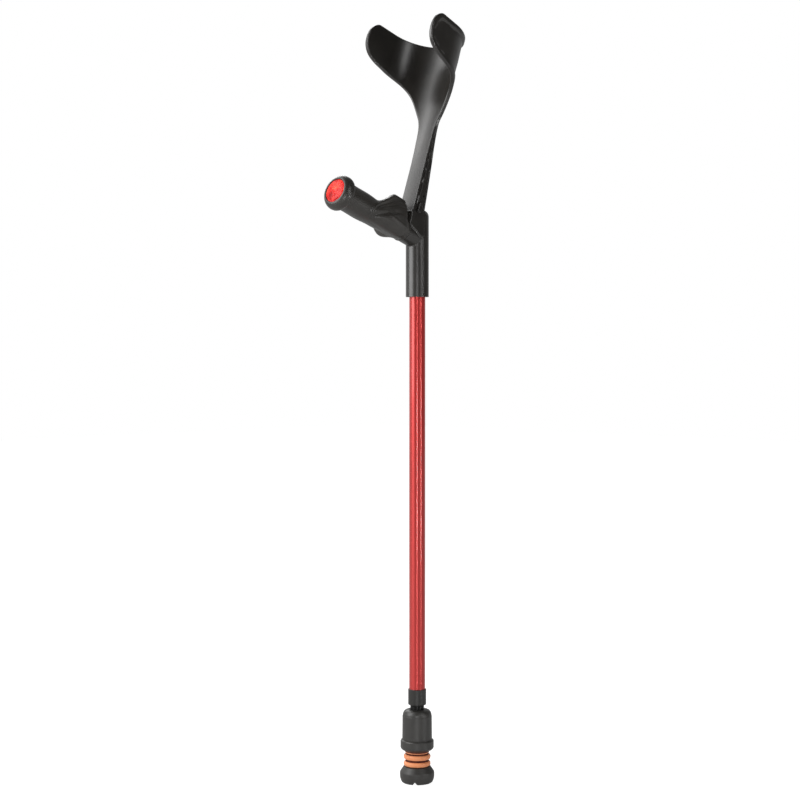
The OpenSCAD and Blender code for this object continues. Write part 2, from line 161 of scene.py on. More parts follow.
def cut(obj, cutter):
    """Subtracts one object from another and discards the cutter."""
    mod = obj.modifiers.new("cut", "BOOLEAN")
    mod.operation = "DIFFERENCE"
    mod.solver = "EXACT"
    mod.object = cutter
    apply_modifiers(obj)
    bpy.data.objects.remove(cutter)


# ---------------------------------------------------------------- frames of the handle and the arm (mm)

RISE = math.radians(19.75)
ROOT_Z = 746.0
LEAN = math.radians(20)
ARM_X, ARM_Z = 14.5, 805.0
SLEEVE_R, SLEEVE_LOW, SLEEVE_HIGH = 15.7, 667.5, 777
NECK_R = 14.6
TUBE_BORE_R = 11.05
GRIP_FROM, GRIP_TO, GRIP_BORE_R = 31.0, 167.0, 9.2
LENS_SEAT_T, LENS_SEAT_R = 161.8, 16.2


def on_handle(p):
    """From x along the handle, y across, z square to it, to the model's frame."""
    p = np.asarray(p, float)
    c, s = math.cos(RISE), math.sin(RISE)
    return np.stack([p[..., 0] * c - p[..., 2] * s, p[..., 1], ROOT_Z + p[..., 0] * s + p[..., 2] * c], -1)


def on_arm(p):
    """From x off the arm's face, y across, z along the arm, to the model's frame."""
    p = np.asarray(p, float)
    c, s = math.cos(LEAN), math.sin(LEAN)
    return np.stack([ARM_X + p[..., 0] * c - p[..., 2] * s, p[..., 1],
                     ARM_Z + p[..., 0] * s + p[..., 2] * c], -1)


def along_handle(p):
    """Turns a lathe's axis to run along the handle."""
    return on_handle(np.stack([p[..., 2], p[..., 0], p[..., 1]], -1))


def in_place(p):
    """For points that are in the model's frame already."""
    return p


def along_y(p, at):
    """Turns a lathe's axis to y, standing at (x, z) of the arm's frame."""
    return on_arm(np.stack([p[..., 0] + at[0], p[..., 2], p[..., 1] + at[1]], -1))


UPPER_PIN = (-13.6, 3.6)
LOWER_PIN = (-10.1, -19.2)


# ---------------------------------------------------------------- materials

def new_material(name):
    """A material, its node tree and its shader."""
    mat = bpy.data.materials.new(name)
    mat.use_nodes = True
    tree = mat.node_tree
    return mat, tree, tree.nodes["Principled BSDF"]


def noise(tree, scale, detail=3.0, rough=0.5, stretch=(1, 1, 1)):
    """Noise on the object's own coordinates, in metres."""
    where = tree.nodes.new("ShaderNodeTexCoord")
    sized = tree.nodes.new("ShaderNodeMapping")
    sized.inputs["Scale"].default_value = stretch
    tex = tree.nodes.new("ShaderNodeTexNoise")
    tex.inputs["Scale"].default_value = scale
    tex.inputs["Detail"].default_value = detail
    tex.inputs["Roughness"].default_value = rough
    tree.links.new(where.outputs["Object"], sized.inputs["Vector"])
    tree.links.new(sized.outputs["Vector"], tex.inputs["Vector"])
    return tex.outputs["Fac"]


def ramp(tree, value, stops):
    """A colour ramp over a value; stops are (position, colour)."""
    node = tree.nodes.new("ShaderNodeValToRGB")
    node.color_ramp.elements[0].position, node.color_ramp.elements[0].color = stops[0][0], (*stops[0][1], 1)
    node.color_ramp.elements[1].position, node.color_ramp.elements[1].color = stops[-1][0], (*stops[-1][1], 1)
    for pos, colour in stops[1:-1]:
        node.color_ramp.elements.new(pos).color = (*colour, 1)
    tree.links.new(value, node.inputs["Fac"])
    return node.outputs["Color"]


def spread(tree, value, low, high):
    """Maps a 0 to 1 value to a range."""
    node = tree.nodes.new("ShaderNodeMapRange")
    node.inputs["To Min"].default_value = low
    node.inputs["To Max"].default_value = high
    tree.links.new(value, node.inputs["Value"])
    return node.outputs["Result"]


def bump(tree, shader, value, strength, distance):
    """Fine relief from a value; distance is in metres."""
    node = tree.nodes.new("ShaderNodeBump")
    node.inputs["Strength"].default_value = strength
    node.inputs["Distance"].default_value = distance
    tree.links.new(value, node.inputs["Height"])
    tree.links.new(node.outputs["Normal"], shader.inputs["Normal"])


def moulded(name, dark, light, rough, grain, depth, specular=0.5, sheen=0.0):
    """Moulded plastic or rubber: spark-eroded grain, slight mottling of colour and gloss."""
    mat, tree, shader = new_material(name)
    cloudy = noise(tree, 45, 4)
    tree.links.new(ramp(tree, cloudy, [(0.35, dark), (0.65, light)]), shader.inputs["Base Color"])
    tree.links.new(spread(tree, noise(tree, 60, 2), rough - 0.02, rough + 0.04), shader.inputs["Roughness"])
    shader.inputs["Specular IOR Level"].default_value = specular
    shader.inputs["Sheen Weight"].default_value = sheen
    shader.inputs["Sheen Roughness"].default_value = 0.4
    bump(tree, shader, noise(tree, grain, 2, 0.6), 0.06, depth)
    return mat


def anodised(name, dark, light, rough, coat=0.0, metallic=0.85):
    """Anodised tube: fine lines drawn along it under an even finish."""
    mat, tree, shader = new_material(name)
    drawn = noise(tree, 1400, 2, 0.5, (1, 1, 0.004))
    tree.links.new(ramp(tree, drawn, [(0.3, dark), (0.7, light)]), shader.inputs["Base Color"])
    tree.links.new(spread(tree, drawn, rough - 0.01, rough + 0.01), shader.inputs["Roughness"])
    shader.inputs["Metallic"].default_value = metallic
    shader.inputs["Coat Weight"].default_value = coat
    shader.inputs["Coat Roughness"].default_value = 0.08
    round_axis = tree.nodes.new("ShaderNodeTangent")
    round_axis.direction_type = "RADIAL"
    round_axis.axis = "Z"
    tree.links.new(round_axis.outputs["Tangent"], shader.inputs["Tangent"])
    shader.inputs["Anisotropic"].default_value = 0.85
    shader.inputs["Anisotropic Rotation"].default_value = 0.25
    return mat


PLASTIC = moulded("satin_plastic", (0.012, 0.0105, 0.009), (0.018, 0.016, 0.0135), 0.30, 2400, 0.00002, 0.75)
GRIP = moulded("soft_grip", (0.016, 0.014, 0.011), (0.024, 0.021, 0.017), 0.38, 2200, 0.00003, 0.7, 0.05)
FERRULE = moulded("ferrule_rubber", (0.018, 0.017, 0.015), (0.026, 0.0245, 0.0215), 0.42, 2200, 0.00003, 0.7)
TREAD = moulded("tread_rubber", (0.020, 0.019, 0.017), (0.030, 0.028, 0.025), 0.48, 1800, 0.00005, 0.6)
COLLAR = moulded("collar_plastic", (0.010, 0.0095, 0.008), (0.015, 0.014, 0.012), 0.38, 2600, 0.00002, 0.6)
BELLOWS = moulded("bellows_rubber", (0.80, 0.285, 0.12), (0.86, 0.33, 0.145), 0.45, 2200, 0.00008, 0.45, 0.1)
# a darker red-brown for the bellows grooves: painted shade
PAINTED_GROOVE_SHADE = moulded("bellows_groove_painted_shade", (0.10, 0.018, 0.010), (0.14, 0.026, 0.014), 0.55, 2200, 0.00008, 0.3)
RED = anodised("red_anodised", (0.50, 0.034, 0.030), (0.54, 0.038, 0.034), 0.30, 0.4, 0.45)
BLACK = anodised("black_anodised", (0.012, 0.012, 0.012), (0.022, 0.022, 0.022), 0.32)
STEEL = anodised("steel", (0.45, 0.45, 0.46), (0.60, 0.60, 0.61), 0.30)


def reflector_material():
    """Red lens over prisms: its colour mottled from deep red to orange as painted glints, and glowing in that colour
    as painted light.
    """
    mat, tree, shader = new_material("reflector_red")
    # deep red to orange mottling: painted glints where light would catch the prisms
    colour = ramp(tree, noise(tree, 95, 4), [(0.34, (0.30, 0.002, 0.002)), (0.50, (0.62, 0.012, 0.008)),
                                              (0.68, (0.90, 0.09, 0.04))])
    tree.links.new(colour, shader.inputs["Base Color"])
    # the lens glows in its own mottled colour: painted light, though it is no lamp
    tree.links.new(colour, shader.inputs["Emission Color"])
    shader.inputs["Emission Strength"].default_value = 0.30
    shader.inputs["Roughness"].default_value = 0.30
    shader.inputs["Specular IOR Level"].default_value = 0.2
    shader.inputs["Coat Weight"].default_value = 0.04
    shader.inputs["Coat Roughness"].default_value = 0.10
    return mat


def plain(name, colour, rough):
    """A matt surface, very faintly mottled."""
    mat, tree, shader = new_material(name)
    tree.links.new(ramp(tree, noise(tree, 3, 2), [(0.3, colour), (0.7, tuple(0.985 * c for c in colour))]),
                   shader.inputs["Base Color"])
    shader.inputs["Roughness"].default_value = rough
    return mat


REFLECTOR_PAINTED_GLOW = reflector_material()
WHITE = moulded("reflector_plate", (0.75, 0.75, 0.74), (0.8, 0.8, 0.79), 0.5, 2600, 0.00004)


# ---------------------------------------------------------------- arm and cuff

PATTERN = [  # flat pattern: half width, height of the edge, height of the middle
    [13.2, -34, -34], [13.2, -17, -17], [13.2, 0, 0], [13.2, 20, 20], [13.2, 40, 40], [13.4, 60, 60],
    [13.8, 75, 75], [14.4, 88, 88], [15.6, 100, 101], [18.5, 111, 113], [23.5, 121, 125], [29, 131, 137],
    [35, 141, 149], [42, 149.5, 160], [52, 157, 169], [66, 162.5, 177], [86, 167, 185], [104, 171, 192],
    [117, 177, 199], [124.5, 186, 205], [127, 196, 211], [126, 207, 216], [122, 216, 220],
    [115, 222.5, 223], [110, 224, 224]]
CUFF_R = 54.0
WING_TURN = math.radians(86)
WALL = 3.2


def cuff_turn(s):
    """How far round the cuff a point s from its middle stands."""
    return np.sign(s) * np.minimum(np.abs(s) / CUFF_R, WING_TURN)


def cuff_point(s, w, edge, depth):
    """A point of the cuff sheet: s round it, w up it, depth behind its inner face."""
    a = cuff_turn(s)
    more = np.maximum(np.abs(s) - CUFF_R * WING_TURN, 0)
    curl = 0.3 + 0.7 * smooth(40, 105, w)
    q = curl * CUFF_R * (1 - np.cos(a)) + more * np.sin(np.abs(a))
    y = CUFF_R * np.sin(a) + more * np.cos(a) * np.sign(s)
    n = a * smooth(70, 125, edge)
    return np.stack([q - depth * np.cos(n), y + depth * np.sin(n), w], -1)


def cuff_shell():
    """The arm and open cuff: a sheet with a raised rim outside, run out into a hollow arm with grooved sides."""
    rows = []
    for i in range(len(PATTERN) - 1):
        span = max(PATTERN[i + 1][2] - PATTERN[i][2], abs(PATTERN[i + 1][0] - PATTERN[i][0]))
        steps = int(np.clip(span / (2.2 if i < 7 else 1.0), 3, 16))
        rows += [i + k / steps for k in range(steps)]
    rows = np.array(rows + [len(PATTERN) - 1.0])
    half, edge, mid = spline(PATTERN, rows).T

    rim = through([[60, 3.0], [150, 7.2]], edge)
    rim_depth = np.interp(edge, [-34, -20, 17, 52, 88, 108], [24, 22.8, 18.3, 13.7, 8.4, 5.6])
    arm = 1 - smooth(75, 112, edge)
    round_face = 0.7 * arm + 1.5 * (1 - arm)
    round_back = 0.8 * arm + 1.9 * (1 - arm)

    near = np.array([0, 0.08, 0.3, 0.65, 1.1, 1.7, 2.6])
    inner = np.linspace(0, 1, 61)[1:-1]
    m = len(rows)

    def across(k):
        """Places along row k, from one edge to the other, close together at the edges and at the rim's step."""
        band = np.concatenate([near, rim[k] + np.array([-0.9, -0.5, -0.1, 0.3, 0.7, 1.1])])
        band = np.sort(np.minimum(band, half[k] - 1.2))
        middle = -half[k] + band[-1] + inner * 2 * (half[k] - band[-1])
        return np.concatenate([-half[k] + band, middle, half[k] - band[::-1]])

    s = np.stack([across(k) for k in range(m)])
    w = mid[:, None] + (edge - mid)[:, None] * (s / half[:, None]) ** 2
    e = np.repeat(edge[:, None], s.shape[1], 1)

    # distance of every point from the outline, in the flat pattern
    line = np.concatenate([np.stack([half, edge], 1),
                           np.stack([np.linspace(110, -110, 180), np.full(180, 224.0)], 1),
                           np.stack([-half, edge], 1)[::-1]])
    pts = np.stack([s.ravel(), w.ravel()], 1)
    a, b = line[:-1], line[1:]
    ab = b - a
    dist = np.full(len(pts), 1e9)
    for i0 in range(0, len(pts), 4000):
        p = pts[i0:i0 + 4000, None]
        u = np.clip(((p - a) * ab).sum(-1) / np.maximum((ab * ab).sum(-1), 1e-12), 0, 1)
        dist[i0:i0 + 4000] = np.sqrt((((a + u[..., None] * ab) - p) ** 2).sum(-1)).min(1)
    dist = dist.reshape(s.shape)

    def rounded(radius):
        r = radius[:, None]
        x = np.clip(r - dist, 0, r)
        return r - np.sqrt(np.maximum(r * r - x * x, 0))

    face = rounded(round_face)
    step = 1 - smooth(-0.8, 0.8, dist - rim[:, None])
    panel = WALL + 0.5 * (1 - arm)[:, None] * smooth(8, 40, dist)
    back = panel + (rim_depth[:, None] - panel) * step - rounded(round_back)

    # the side: a plate edge, a groove, a ridge and a sunk panel down the arm, plain round the cuff
    n_side = 22
    u = np.linspace(0, 1, n_side + 2)[1:-1]
    low, high = round_face, rim_depth - round_back
    d = low[:, None] + u * (high - low)[:, None]
    sunk = 0.9 * smooth(2.3, 2.7, d) * (1 - smooth(4.7, 5.1, d)) + 0.55 * smooth(6.6, 7.0, d) * (
        1 - smooth(0, 0.5, d - (rim_depth - 2.4)[:, None]))
    fade = (arm * smooth(6, 10, rim_depth))[:, None]
    right = cuff_point(half[:, None] - sunk * fade, np.repeat(edge[:, None], n_side, 1), edge[:, None], d)
    left = cuff_point(-half[:, None] + sunk * fade, np.repeat(edge[:, None], n_side, 1), edge[:, None], d)

    loop = np.concatenate([cuff_point(s, w, e, face), right,
                           cuff_point(s, w, e, back)[:, ::-1], left[:, ::-1]], 1)
    cols = loop.shape[1]
    faces = grid_faces(m, cols, True)
    n = s.shape[1]
    for o, flip in ((0, 1), ((m - 1) * cols, -1)):
        back0 = n + n_side
        strip = [(o + j, o + j + 1, o + back0 + n - 2 - j, o + back0 + n - 1 - j) for j in range(n - 1)]
        side_r = tuple(o + n - 1 + k for k in range(n_side + 2))
        side_l = tuple([o + back0 + n - 1 + k for k in range(n_side + 1)] + [o])
        faces += [f[::flip] for f in strip + [side_r, side_l]]
    obj = make_object("cuff_shell", on_arm(loop.reshape(-1, 3)), faces, PLASTIC)
    for at, radius in ((UPPER_PIN, 1.6), (LOWER_PIN, 2.1)):
        cut(obj, lathe("hole", [(radius, -20), (radius, 20)], PLASTIC, 32, place=lambda p: along_y(p, at)))
    shade(obj, 40)
    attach(obj, "upper")
    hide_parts("forearm_cuff")


cuff_shell()


# ---------------------------------------------------------------- grip

# lines on the grip as [t, a]: the palm support's rolled edge, the crease of the finger hollow, the swelling under it
RIDGE = [[46, 8], [57, 10], [65, 14], [72, 20], [80, 28], [88, 38], [94, 48], [101, 64], [107, 84],
         [110.5, 112], [109, 140]]
CREASE = [[47, 34], [59, 47], [67, 57], [74, 67], [80, 77], [86, 87], [97, 107], [106, 122], [112, 132]]
SWELL = [[84, 64], [72, 77], [58, 86], [46, 92], [34, 98]]


def grip_base(t):
    """Radius of the grip without its palm support."""
    return through([[31, 15], [60, 16.6], [90, 17.4], [118, 18.8], [138, 18.6], [152, 18.8]], t)


def grip_radius(t, a):
    """Radius of the grip at t along the handle and a degrees from its top towards +Y."""
    crest = curve([[-180, 16.5], [-166, 17.4], [-152, 20.4], [-138, 23], [-122, 25.4], [-90, 31], [-60, 36],
                   [-30, 39.6], [-8, 40], [6, 38.6], [18, 33.4], [30, 27.2], [40, 22.4], [50, 19.6], [62, 18.8],
                   [90, 18.5], [140, 18.4], [180, 16.5]], a)
    risen = curve([[-150, 55], [-110, 53], [-60, 51], [-20, 50], [5, 47], [40, 46]], a)
    ends = curve([[-180, 55], [-130, 57], [-105, 57], [-60, 52], [-20, 54], [0, 60], [12, 67], [24, 76], [36, 86],
                  [48, 94], [64, 101], [84, 107], [112, 110.5], [140, 109], [180, 98]], a)
    fall = curve([[-180, 6], [-150, 6], [-125, 8], [-90, 22], [-60, 33], [-20, 36], [0, 33], [20, 24], [45, 10],
                  [60, 7]], a)
    base = grip_base(t)
    r = base + np.maximum(crest - base, 0) * smooth(risen - 15, risen, t) * (1 - smooth(ends, ends + fall, t))

    # the rolled edge of the palm support: two beads with a groove between, which run on as one low ridge
    away, at = line_distance(RIDGE, t, a)
    strong = 1 - smooth(105, 135, at)
    r = r + 0.9 * strong * smooth(5, 22, at) * np.exp(-(away / 1.8) ** 2)
    r = r - 1.3 * strong * (1 - 0.5 * smooth(50, 90, at)) * np.exp(-((away - 2.7) / 1.0) ** 2)
    r = r - 0.8 * (1 - smooth(55, 85, at)) * np.exp(-((away - 6.2) / 1.1) ** 2)
    # the finger hollow: its floor just under that edge, and the crease along its low side
    away, at = line_distance(CREASE, t, a)
    held = smooth(34, 52, at) * (1 - smooth(112, 128, at))
    r = r - 1.8 * held * np.exp(-(away / 3.2) ** 2)
    # the swelling under the crease, which runs back to the end lip
    away, at = line_distance(SWELL, t, a)
    held = smooth(66, 76, at) * (1 - smooth(104, 116, at))
    return r + 1.1 * held * np.exp(-(away / 4.2) ** 2)


def line_distance(line, t, a):
    """Signed distance in mm from a line of [t, a] points, and the angle reached there."""
    line = spline(line, np.linspace(0, len(line) - 1, 240))
    scale = np.radians(22.0)  # mm along the skin for each degree, at a radius of 22 mm
    gap = np.hypot(t[:, None] - line[:, 0], (a[:, None] - line[:, 1]) * scale)
    near = gap.argmin(1)
    step = np.gradient(line, axis=0)[near]
    side = step[:, 0] * (a - line[near, 1]) - step[:, 1] * (t - line[near, 0])
    return gap[np.arange(len(t)), near] * np.sign(side), line[near, 1]


def grip_skin():
    """The soft grip: one skin with its palm support, ridge, finger hollow, end lip and knob."""
    sides = 180
    angle = np.linspace(-180, 180, sides, endpoint=False)
    rings = []
    for r, t in ((13.6, GRIP_FROM), (14.4, 31.15), (15.0, 31.6)):
        rings.append((np.full(sides, t), np.full(sides, r)))
    for t in np.arange(32.2, 150.3, 0.9):
        lip = 0.55 * np.exp(-((t - 33.4) / 1.2) ** 2) - 0.45 * np.exp(-((t - 36.4) / 1.1) ** 2)
        rings.append((np.full(sides, t), grip_radius(np.full(sides, t), angle) + lip))
    knob = [(19.4, 150.4), (20.6, 150.7), (21.8, 151.4), (22.8, 152.6), (23.5, 154.2), (23.8, 156.2), (23.7, 158.2),
            (23.3, 160.2), (22.6, 162.1), (21.6, 163.8), (20.6, 165.0), (19.4, 166.0), (18.3, 166.7), (17.3, GRIP_TO),
            (16.6, 166.9), (LENS_SEAT_R, 166.4), (LENS_SEAT_R, 165.6), (LENS_SEAT_R, LENS_SEAT_T),
            (GRIP_BORE_R, LENS_SEAT_T), (GRIP_BORE_R, GRIP_FROM)]
    for r, t in knob:
        rings.append((np.full(sides, t), np.full(sides, r)))
    t = np.array([ring[0] for ring in rings])
    r = np.array([ring[1] for ring in rings])
    a = np.radians(angle)[None, :]
    verts = on_handle(np.stack([t, r * np.sin(a), r * np.cos(a)], -1).reshape(-1, 3))
    m = len(rings)
    faces = grid_faces(m, sides, True)
    faces += [((m - 1) * sides + j, (m - 1) * sides + (j + 1) % sides, (j + 1) % sides, j) for j in range(sides)]
    obj = make_object("grip_skin", verts, faces, GRIP, 50)
    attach(obj, "upper")
    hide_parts("grip")


grip_skin()


# ---------------------------------------------------------------- handle moulding

def prism(name, outline, half, place, material):
    """A slab of that outline in (x, z), 2 x half across in y."""
    p = np.asarray(outline, float)
    n = len(p)
    verts = [np.stack([p[:, 0], np.full(n, y), p[:, 1]], -1) for y in (-half, half)]
    faces = [tuple(range(n)), tuple(range(2 * n - 1, n - 1, -1))]
    faces += [(j, (j + 1) % n, n + (j + 1) % n, n + j) for j in range(n)]
    return make_object(name, place(np.concatenate(verts)), faces, material)


def block(name, low, high, place, material):
    """A box between two corners."""
    return prism(name, [(low[0], low[2]), (high[0], low[2]), (high[0], high[2]), (low[0], high[2])],
                 1, lambda p: place(np.where([False, True, False], np.where(p < 0, low[1], high[1]), p)), material)


def true_round(obj):
    """Puts the points that the remesh left near the sleeve or the neck back on their cylinders."""
    mesh = obj.data
    p = np.empty(3 * len(mesh.vertices))
    mesh.vertices.foreach_get("co", p)
    p = p.reshape(-1, 3) / MM
    r = np.hypot(p[:, 0], p[:, 1])
    near = (np.abs(r - SLEEVE_R) < 0.35) & (p[:, 2] < SLEEVE_HIGH - 2)
    p[near, :2] *= (SLEEVE_R / r[near])[:, None]
    c, s = math.cos(RISE), math.sin(RISE)
    up = -p[:, 0] * s + (p[:, 2] - ROOT_Z) * c
    along = p[:, 0] * c + (p[:, 2] - ROOT_Z) * s
    r = np.hypot(p[:, 1], up)
    near = (np.abs(r - NECK_R) < 0.3) & (along > 12) & (along < GRIP_FROM)
    scale = np.where(near, NECK_R / np.maximum(r, 1), 1)
    p = np.where(near[:, None], on_handle(np.stack([along, p[:, 1] * scale, up * scale], -1)), p)
    mesh.vertices.foreach_set("co", (p * MM).ravel())
    mesh.update()


def handle_moulding():
    """Sleeve, neck and arm socket as one moulding, with soft fillets where they run together."""
    dome = [(SLEEVE_R * math.cos(x), SLEEVE_HIGH + 11 * math.sin(x)) for x in np.radians(np.arange(10, 90, 10))]
    sleeve = lathe("handle_moulding", [(SLEEVE_R, 655), (SLEEVE_R, SLEEVE_HIGH)] + dome + [(1, 788)], PLASTIC)
    neck = lathe("neck", [(NECK_R, 0), (NECK_R, 33)], PLASTIC, place=along_handle)
    cheek = [[2.3, -30], [2.4, -28], [3.6, -27], [3.9, -25.4], [3.4, -23.6], [2.2, -22.5],
             [-7.4, -22.5], [-7.5, -9], [-8.0, -6.8], [-9.2, -6.0], [-10.6, -7.2], [-12.2, -9.6],
             [-14.2, -11.9], [-17.4, -13.9], [-21.4, -16.2], [-25, -19.4], [-28, -23.6], [-30.4, -30],
             [-31, -40], [-29, -50], [-23, -50.5], [1, -43.5], [2.3, -42]]
    saddle = prism("saddle", cheek, 15.6, on_arm, PLASTIC)
    web = prism("web", [[3.3, -30], [3.3, -44], [0, -54], [-14, -58], [-28, -50], [-28, -34]], 12.4, on_arm, PLASTIC)
    bpy.ops.object.select_all(action="DESELECT")
    for part in (neck, saddle, web, sleeve):
        part.select_set(True)
    bpy.context.view_layer.objects.active = sleeve
    bpy.ops.object.join()
    obj = sleeve
    solid = obj.modifiers.new("solid", "REMESH")
    solid.mode = "VOXEL"
    solid.voxel_size = 0.75 * MM
    soften = obj.modifiers.new("soften", "SMOOTH")
    soften.factor = 0.5
    soften.iterations = 9
    apply_modifiers(obj)
    true_round(obj)

    cut(obj, block("foot_cut", (-30, -30, 600), (30, 30, SLEEVE_LOW), in_place, PLASTIC))
    cut(obj, block("pocket", (-28, -13.35, -34.1), (0.6, 13.35, 60), on_arm, PLASTIC))
    cut(obj, lathe("bore", [(TUBE_BORE_R, 600), (TUBE_BORE_R, 758.5)], PLASTIC))
    cut(obj, lathe("flare", [(15.8, 30.8), (15.9, 36.2), (16.6, 38.4)], PLASTIC, place=along_handle))
    cut(obj, block("slot", (-0.6, 9.0, -46), (5, 11.5, -29.5), on_arm, PLASTIC))

    tongue = prism("tongue", [[-3.6, -36], [-3.6, 12], [-16.5, 12], [-22, -36]], 9, on_arm, PLASTIC)
    bpy.ops.object.select_all(action="DESELECT")
    tongue.select_set(True)
    obj.select_set(True)
    bpy.context.view_layer.objects.active = obj
    bpy.ops.object.join()
    obj.data.materials.clear()
    obj.data.materials.append(PLASTIC)
    shade(obj, 38)
    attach(obj, "upper")
    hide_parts("handle_body")


handle_moulding()


# ---------------------------------------------------------------- bellows

GROOVE_R = 14.3
BELLOWS_R = 18.5
BELLOWS_IN = 12.4
FOLDS = ((22.9, 29.7), (32.3, 39.2))  # low and high edge of each fold


def bellows_lobe(low, high):
    """Outline of one fold from its low to its high edge."""
    mid, half = (low + high) / 2, (high - low) / 2
    out = []
    for turn in np.radians(np.linspace(-90, 90, 25)):
        c, s = math.cos(turn), math.sin(turn)
        out.append((GROOVE_R + (BELLOWS_R - GROOVE_R) * c ** 0.6, mid + half * math.copysign(abs(s) ** 0.85, s)))
    return out


def bellows_piece(name, outline, low, high):
    """One length of the bellows, with its grooves in a darker material as painted shade."""
    profile = [(BELLOWS_IN, low)] + outline + [(BELLOWS_IN, high)]
    inside = [(BELLOWS_IN, z) for z in np.linspace(high, low, 6)[1:-1]]
    obj = lathe(name, profile + inside, BELLOWS, 96, closed=False, sharp=50)
    obj.data.materials.append(PAINTED_GROOVE_SHADE)
    # faces within 2 mm of the groove radius (the grooves, the sunk neck and the inside) take the darker material:
    # painted shade
    for face in obj.data.polygons:
        r = math.hypot(face.center[0], face.center[1]) / MM
        face.material_index = int(r < GROOVE_R + 2.0)
    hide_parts("bellows")
    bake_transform(obj)


def bellows():
    """The neck and the two folds, each as a piece of its own."""
    low, high = FOLDS
    seam = (low[1] + high[0]) / 2
    neck = [(GROOVE_R, high[1]), (GROOVE_R, high[1] + 1.3), (15.8, high[1] + 1.6), (16.5, high[1] + 2.3),
            (16.5, high[1] + 3.2), (15.9, high[1] + 4.0)] + [(15.8, z) for z in np.linspace(45, 56.9, 7)] + [
            (19.3, 57.0), (19.3, 59.8)]
    bellows_piece("bellows_neck", neck, high[1], 59.8)
    bellows_piece("bellows_upper_fold", [(GROOVE_R, seam)] + bellows_lobe(*high), seam, high[1])
    bellows_piece("bellows_lower_fold", [(GROOVE_R, low[0] - 0.5)] + bellows_lobe(*low) + [(GROOVE_R, seam)],
                  low[0] - 0.5, seam)


bellows()


# ---------------------------------------------------------------- reflector

LENS_T = 163.1
LENS_R = 15.9


def reflector_prisms():
    """The lens: a field of shallow three-sided prisms under its dome, with a plain rim."""
    pitch, relief = 2.3, 0.13
    high = pitch * math.sqrt(3) / 2
    count = int(LENS_R / high) + 2
    points, index = [], {}
    for j in range(-count, count + 1):
        for i in range(-2 * count, 2 * count + 1):
            y, z = (i + j / 2) * pitch, j * high
            r = math.hypot(y, z)
            if r < LENS_R - 0.9:
                rise = relief * (1, -0.35, -0.65)[(i - j) % 3]
                index[i, j] = len(points)
                points.append((LENS_T + 2.7 + 2.3 * (1 - (r / LENS_R) ** 2) + rise, y, z))
    faces = []
    for (i, j), a in index.items():
        for step in (((1, 0), (0, 1)), ((0, 1), (-1, 1))):
            b, c = [index.get((i + u, j + v)) for u, v in step]
            if b is not None and c is not None:
                faces.append((a, b, c))
    obj = make_object("reflector_prisms", on_handle(np.array(points)), faces, REFLECTOR_PAINTED_GLOW)
    obj.data.polygons.foreach_set("use_smooth", [False] * len(obj.data.polygons))

    rim = lathe("reflector_rim", [(LENS_R, LENS_T), (LENS_R, LENS_T + 2.4), (LENS_R - 0.3, LENS_T + 2.9),
                                  (LENS_R - 0.8, LENS_T + 3.1), (LENS_R - 1.4, LENS_T + 3.0),
                                  (LENS_R - 2.8, LENS_T + 2.2), (1.0, LENS_T + 2.2), (1.0, LENS_T)],
                REFLECTOR_PAINTED_GLOW, 96, closed=False, sharp=40, place=along_handle)
    for piece in (obj, rim):
        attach(piece, "upper")
        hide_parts("reflector_lens")


reflector_prisms()


# ---------------------------------------------------------------- leaf spring

LEAF_X = (-5.18, 7.4)  # near and far leaf
LEAF_Z = (336, 378)  # fold and button
LEAF = 0.5
LEAF_HALF = 3


def leaf_spring():
    """The folded spring: its fold and far leaf stay on the inner tube, its near leaf is a piece of its own."""
    near, far = LEAF_X
    fold_z, button_z = LEAF_Z
    middle, radius = (near + far) / 2, (far - near) / 2
    around = np.radians(np.linspace(180, 360, 25))

    def bend(r, turns):
        return [(middle + r * math.cos(x), fold_z + r * math.sin(x)) for x in turns]

    far_leaf = [(far, button_z + 10), (far - LEAF, button_z + 10)]
    fold = prism("spring_fold", bend(radius, around) + far_leaf + bend(radius - LEAF, around[::-1]), LEAF_HALF,
                 in_place, STEEL)
    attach(fold, "lower")
    heights = np.linspace(fold_z, button_z + 4, 30)
    leaf = prism("spring_leaf", [(near, z) for z in heights] + [(near + LEAF, z) for z in heights[::-1]],
                 LEAF_HALF, in_place, STEEL)
    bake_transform(leaf)
    for piece in (fold, leaf):
        shade(piece, 38)
        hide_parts("snap_spring")


leaf_spring()


# ---------------------------------------------------------------- carried-over nodes

FINISH = {
    "outer_tube": RED, "tube_collar": COLLAR, "handle_body": PLASTIC, "sleeve_rivet": STEEL, "grip": GRIP,
    "reflector_back": WHITE, "reflector_lens": REFLECTOR_PAINTED_GLOW, "forearm_cuff": PLASTIC, "arm_pin": BLACK,
    "socket_rivet": PLASTIC, "inner_tube": BLACK, "guide_bush": COLLAR, "snap_button": STEEL,
    "snap_spring": STEEL, "ferrule_housing": FERRULE, "load_washer": STEEL, "retaining_ring": FERRULE,
    "guide_post": STEEL, "post_clip": STEEL, "bellows": BELLOWS, "foot_core": COLLAR,
    "ball_retainer": COLLAR, "foot_tread": TREAD}
for name, material in FINISH.items():
    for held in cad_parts[name].material_slots:
        held.material = material


# ---------------------------------------------------------------- studio

def area_light(name, at, aim, size, power):
    """A rectangular light at one point that faces another."""
    data = bpy.data.lights.new(name, "AREA")
    data.shape = "RECTANGLE"
    data.size, data.size_y = size
    data.energy = power
    lamp = bpy.data.objects.new(name, data)
    bpy.context.scene.collection.objects.link(lamp)
    lamp.location = at
    lamp.rotation_euler = (Vector(aim) - Vector(at)).to_track_quat("-Z", "Y").to_euler()


